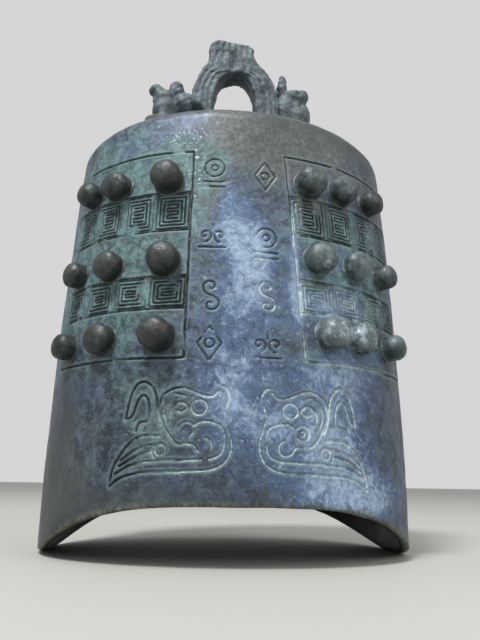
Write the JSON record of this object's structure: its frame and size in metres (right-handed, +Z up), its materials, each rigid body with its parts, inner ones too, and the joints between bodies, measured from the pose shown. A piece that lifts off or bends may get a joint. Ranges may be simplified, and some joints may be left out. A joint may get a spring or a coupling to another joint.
{
  "type": "temple bell",
  "caption": "Antique-style oval bronze bell with an arched mouth, four fields of bosses, engraved panels, and a suspension loop between two small beasts on its domed crown.",
  "frame": {"origin": "middle of the mouth, level with the two low tips of the rim, which is the bottom centre of the part", "axes": "+Z up through the crown and loop, X along the oval's long axis from tip to tip, -Y out of the front face"},
  "size_m": [0.1496, 0.136, 0.248],
  "materials": {
    "body_patina": "cast bronze with blue-grey and green patina",
    "crown_patina": "cast bronze with olive-brown patina",
    "loop_bronze": "handled cast bronze, semi-gloss, grey-green patina",
    "boss_bronze": "dark worn cast bronze"
  },
  "bodies": {
    "root": {"bell_body": "body_patina", "crown_plate": "crown_patina", "loop_plinth": "crown_patina", "suspension_loop": "loop_bronze", "left_beast": "loop_bronze", "right_beast": "loop_bronze", "boss_front_left_row1_col1": "boss_bronze", "boss_front_left_row1_col2": "boss_bronze", "boss_front_left_row1_col3": "boss_bronze", "boss_front_left_row2_col1": "boss_bronze", "boss_front_left_row2_col2": "boss_bronze", "boss_front_left_row2_col3": "boss_bronze", "boss_front_left_row3_col1": "boss_bronze", "boss_front_left_row3_col2": "boss_bronze", "boss_front_left_row3_col3": "boss_bronze", "boss_front_right_row1_col1": "boss_bronze", "boss_front_right_row1_col2": "boss_bronze", "boss_front_right_row1_col3": "boss_bronze", "boss_front_right_row2_col1": "boss_bronze", "boss_front_right_row2_col2": "boss_bronze", "boss_front_right_row2_col3": "boss_bronze", "boss_front_right_row3_col1": "boss_bronze", "boss_front_right_row3_col2": "boss_bronze", "boss_front_right_row3_col3": "boss_bronze", "boss_back_left_row1_col1": "boss_bronze", "boss_back_left_row1_col2": "boss_bronze", "boss_back_left_row1_col3": "boss_bronze", "boss_back_left_row2_col1": "boss_bronze", "boss_back_left_row2_col2": "boss_bronze", "boss_back_left_row2_col3": "boss_bronze", "boss_back_left_row3_col1": "boss_bronze", "boss_back_left_row3_col2": "boss_bronze", "boss_back_left_row3_col3": "boss_bronze", "boss_back_right_row1_col1": "boss_bronze", "boss_back_right_row1_col2": "boss_bronze", "boss_back_right_row1_col3": "boss_bronze", "boss_back_right_row2_col1": "boss_bronze", "boss_back_right_row2_col2": "boss_bronze", "boss_back_right_row2_col3": "boss_bronze", "boss_back_right_row3_col1": "boss_bronze", "boss_back_right_row3_col2": "boss_bronze", "boss_back_right_row3_col3": "boss_bronze"}
  },
  "joints": []
}
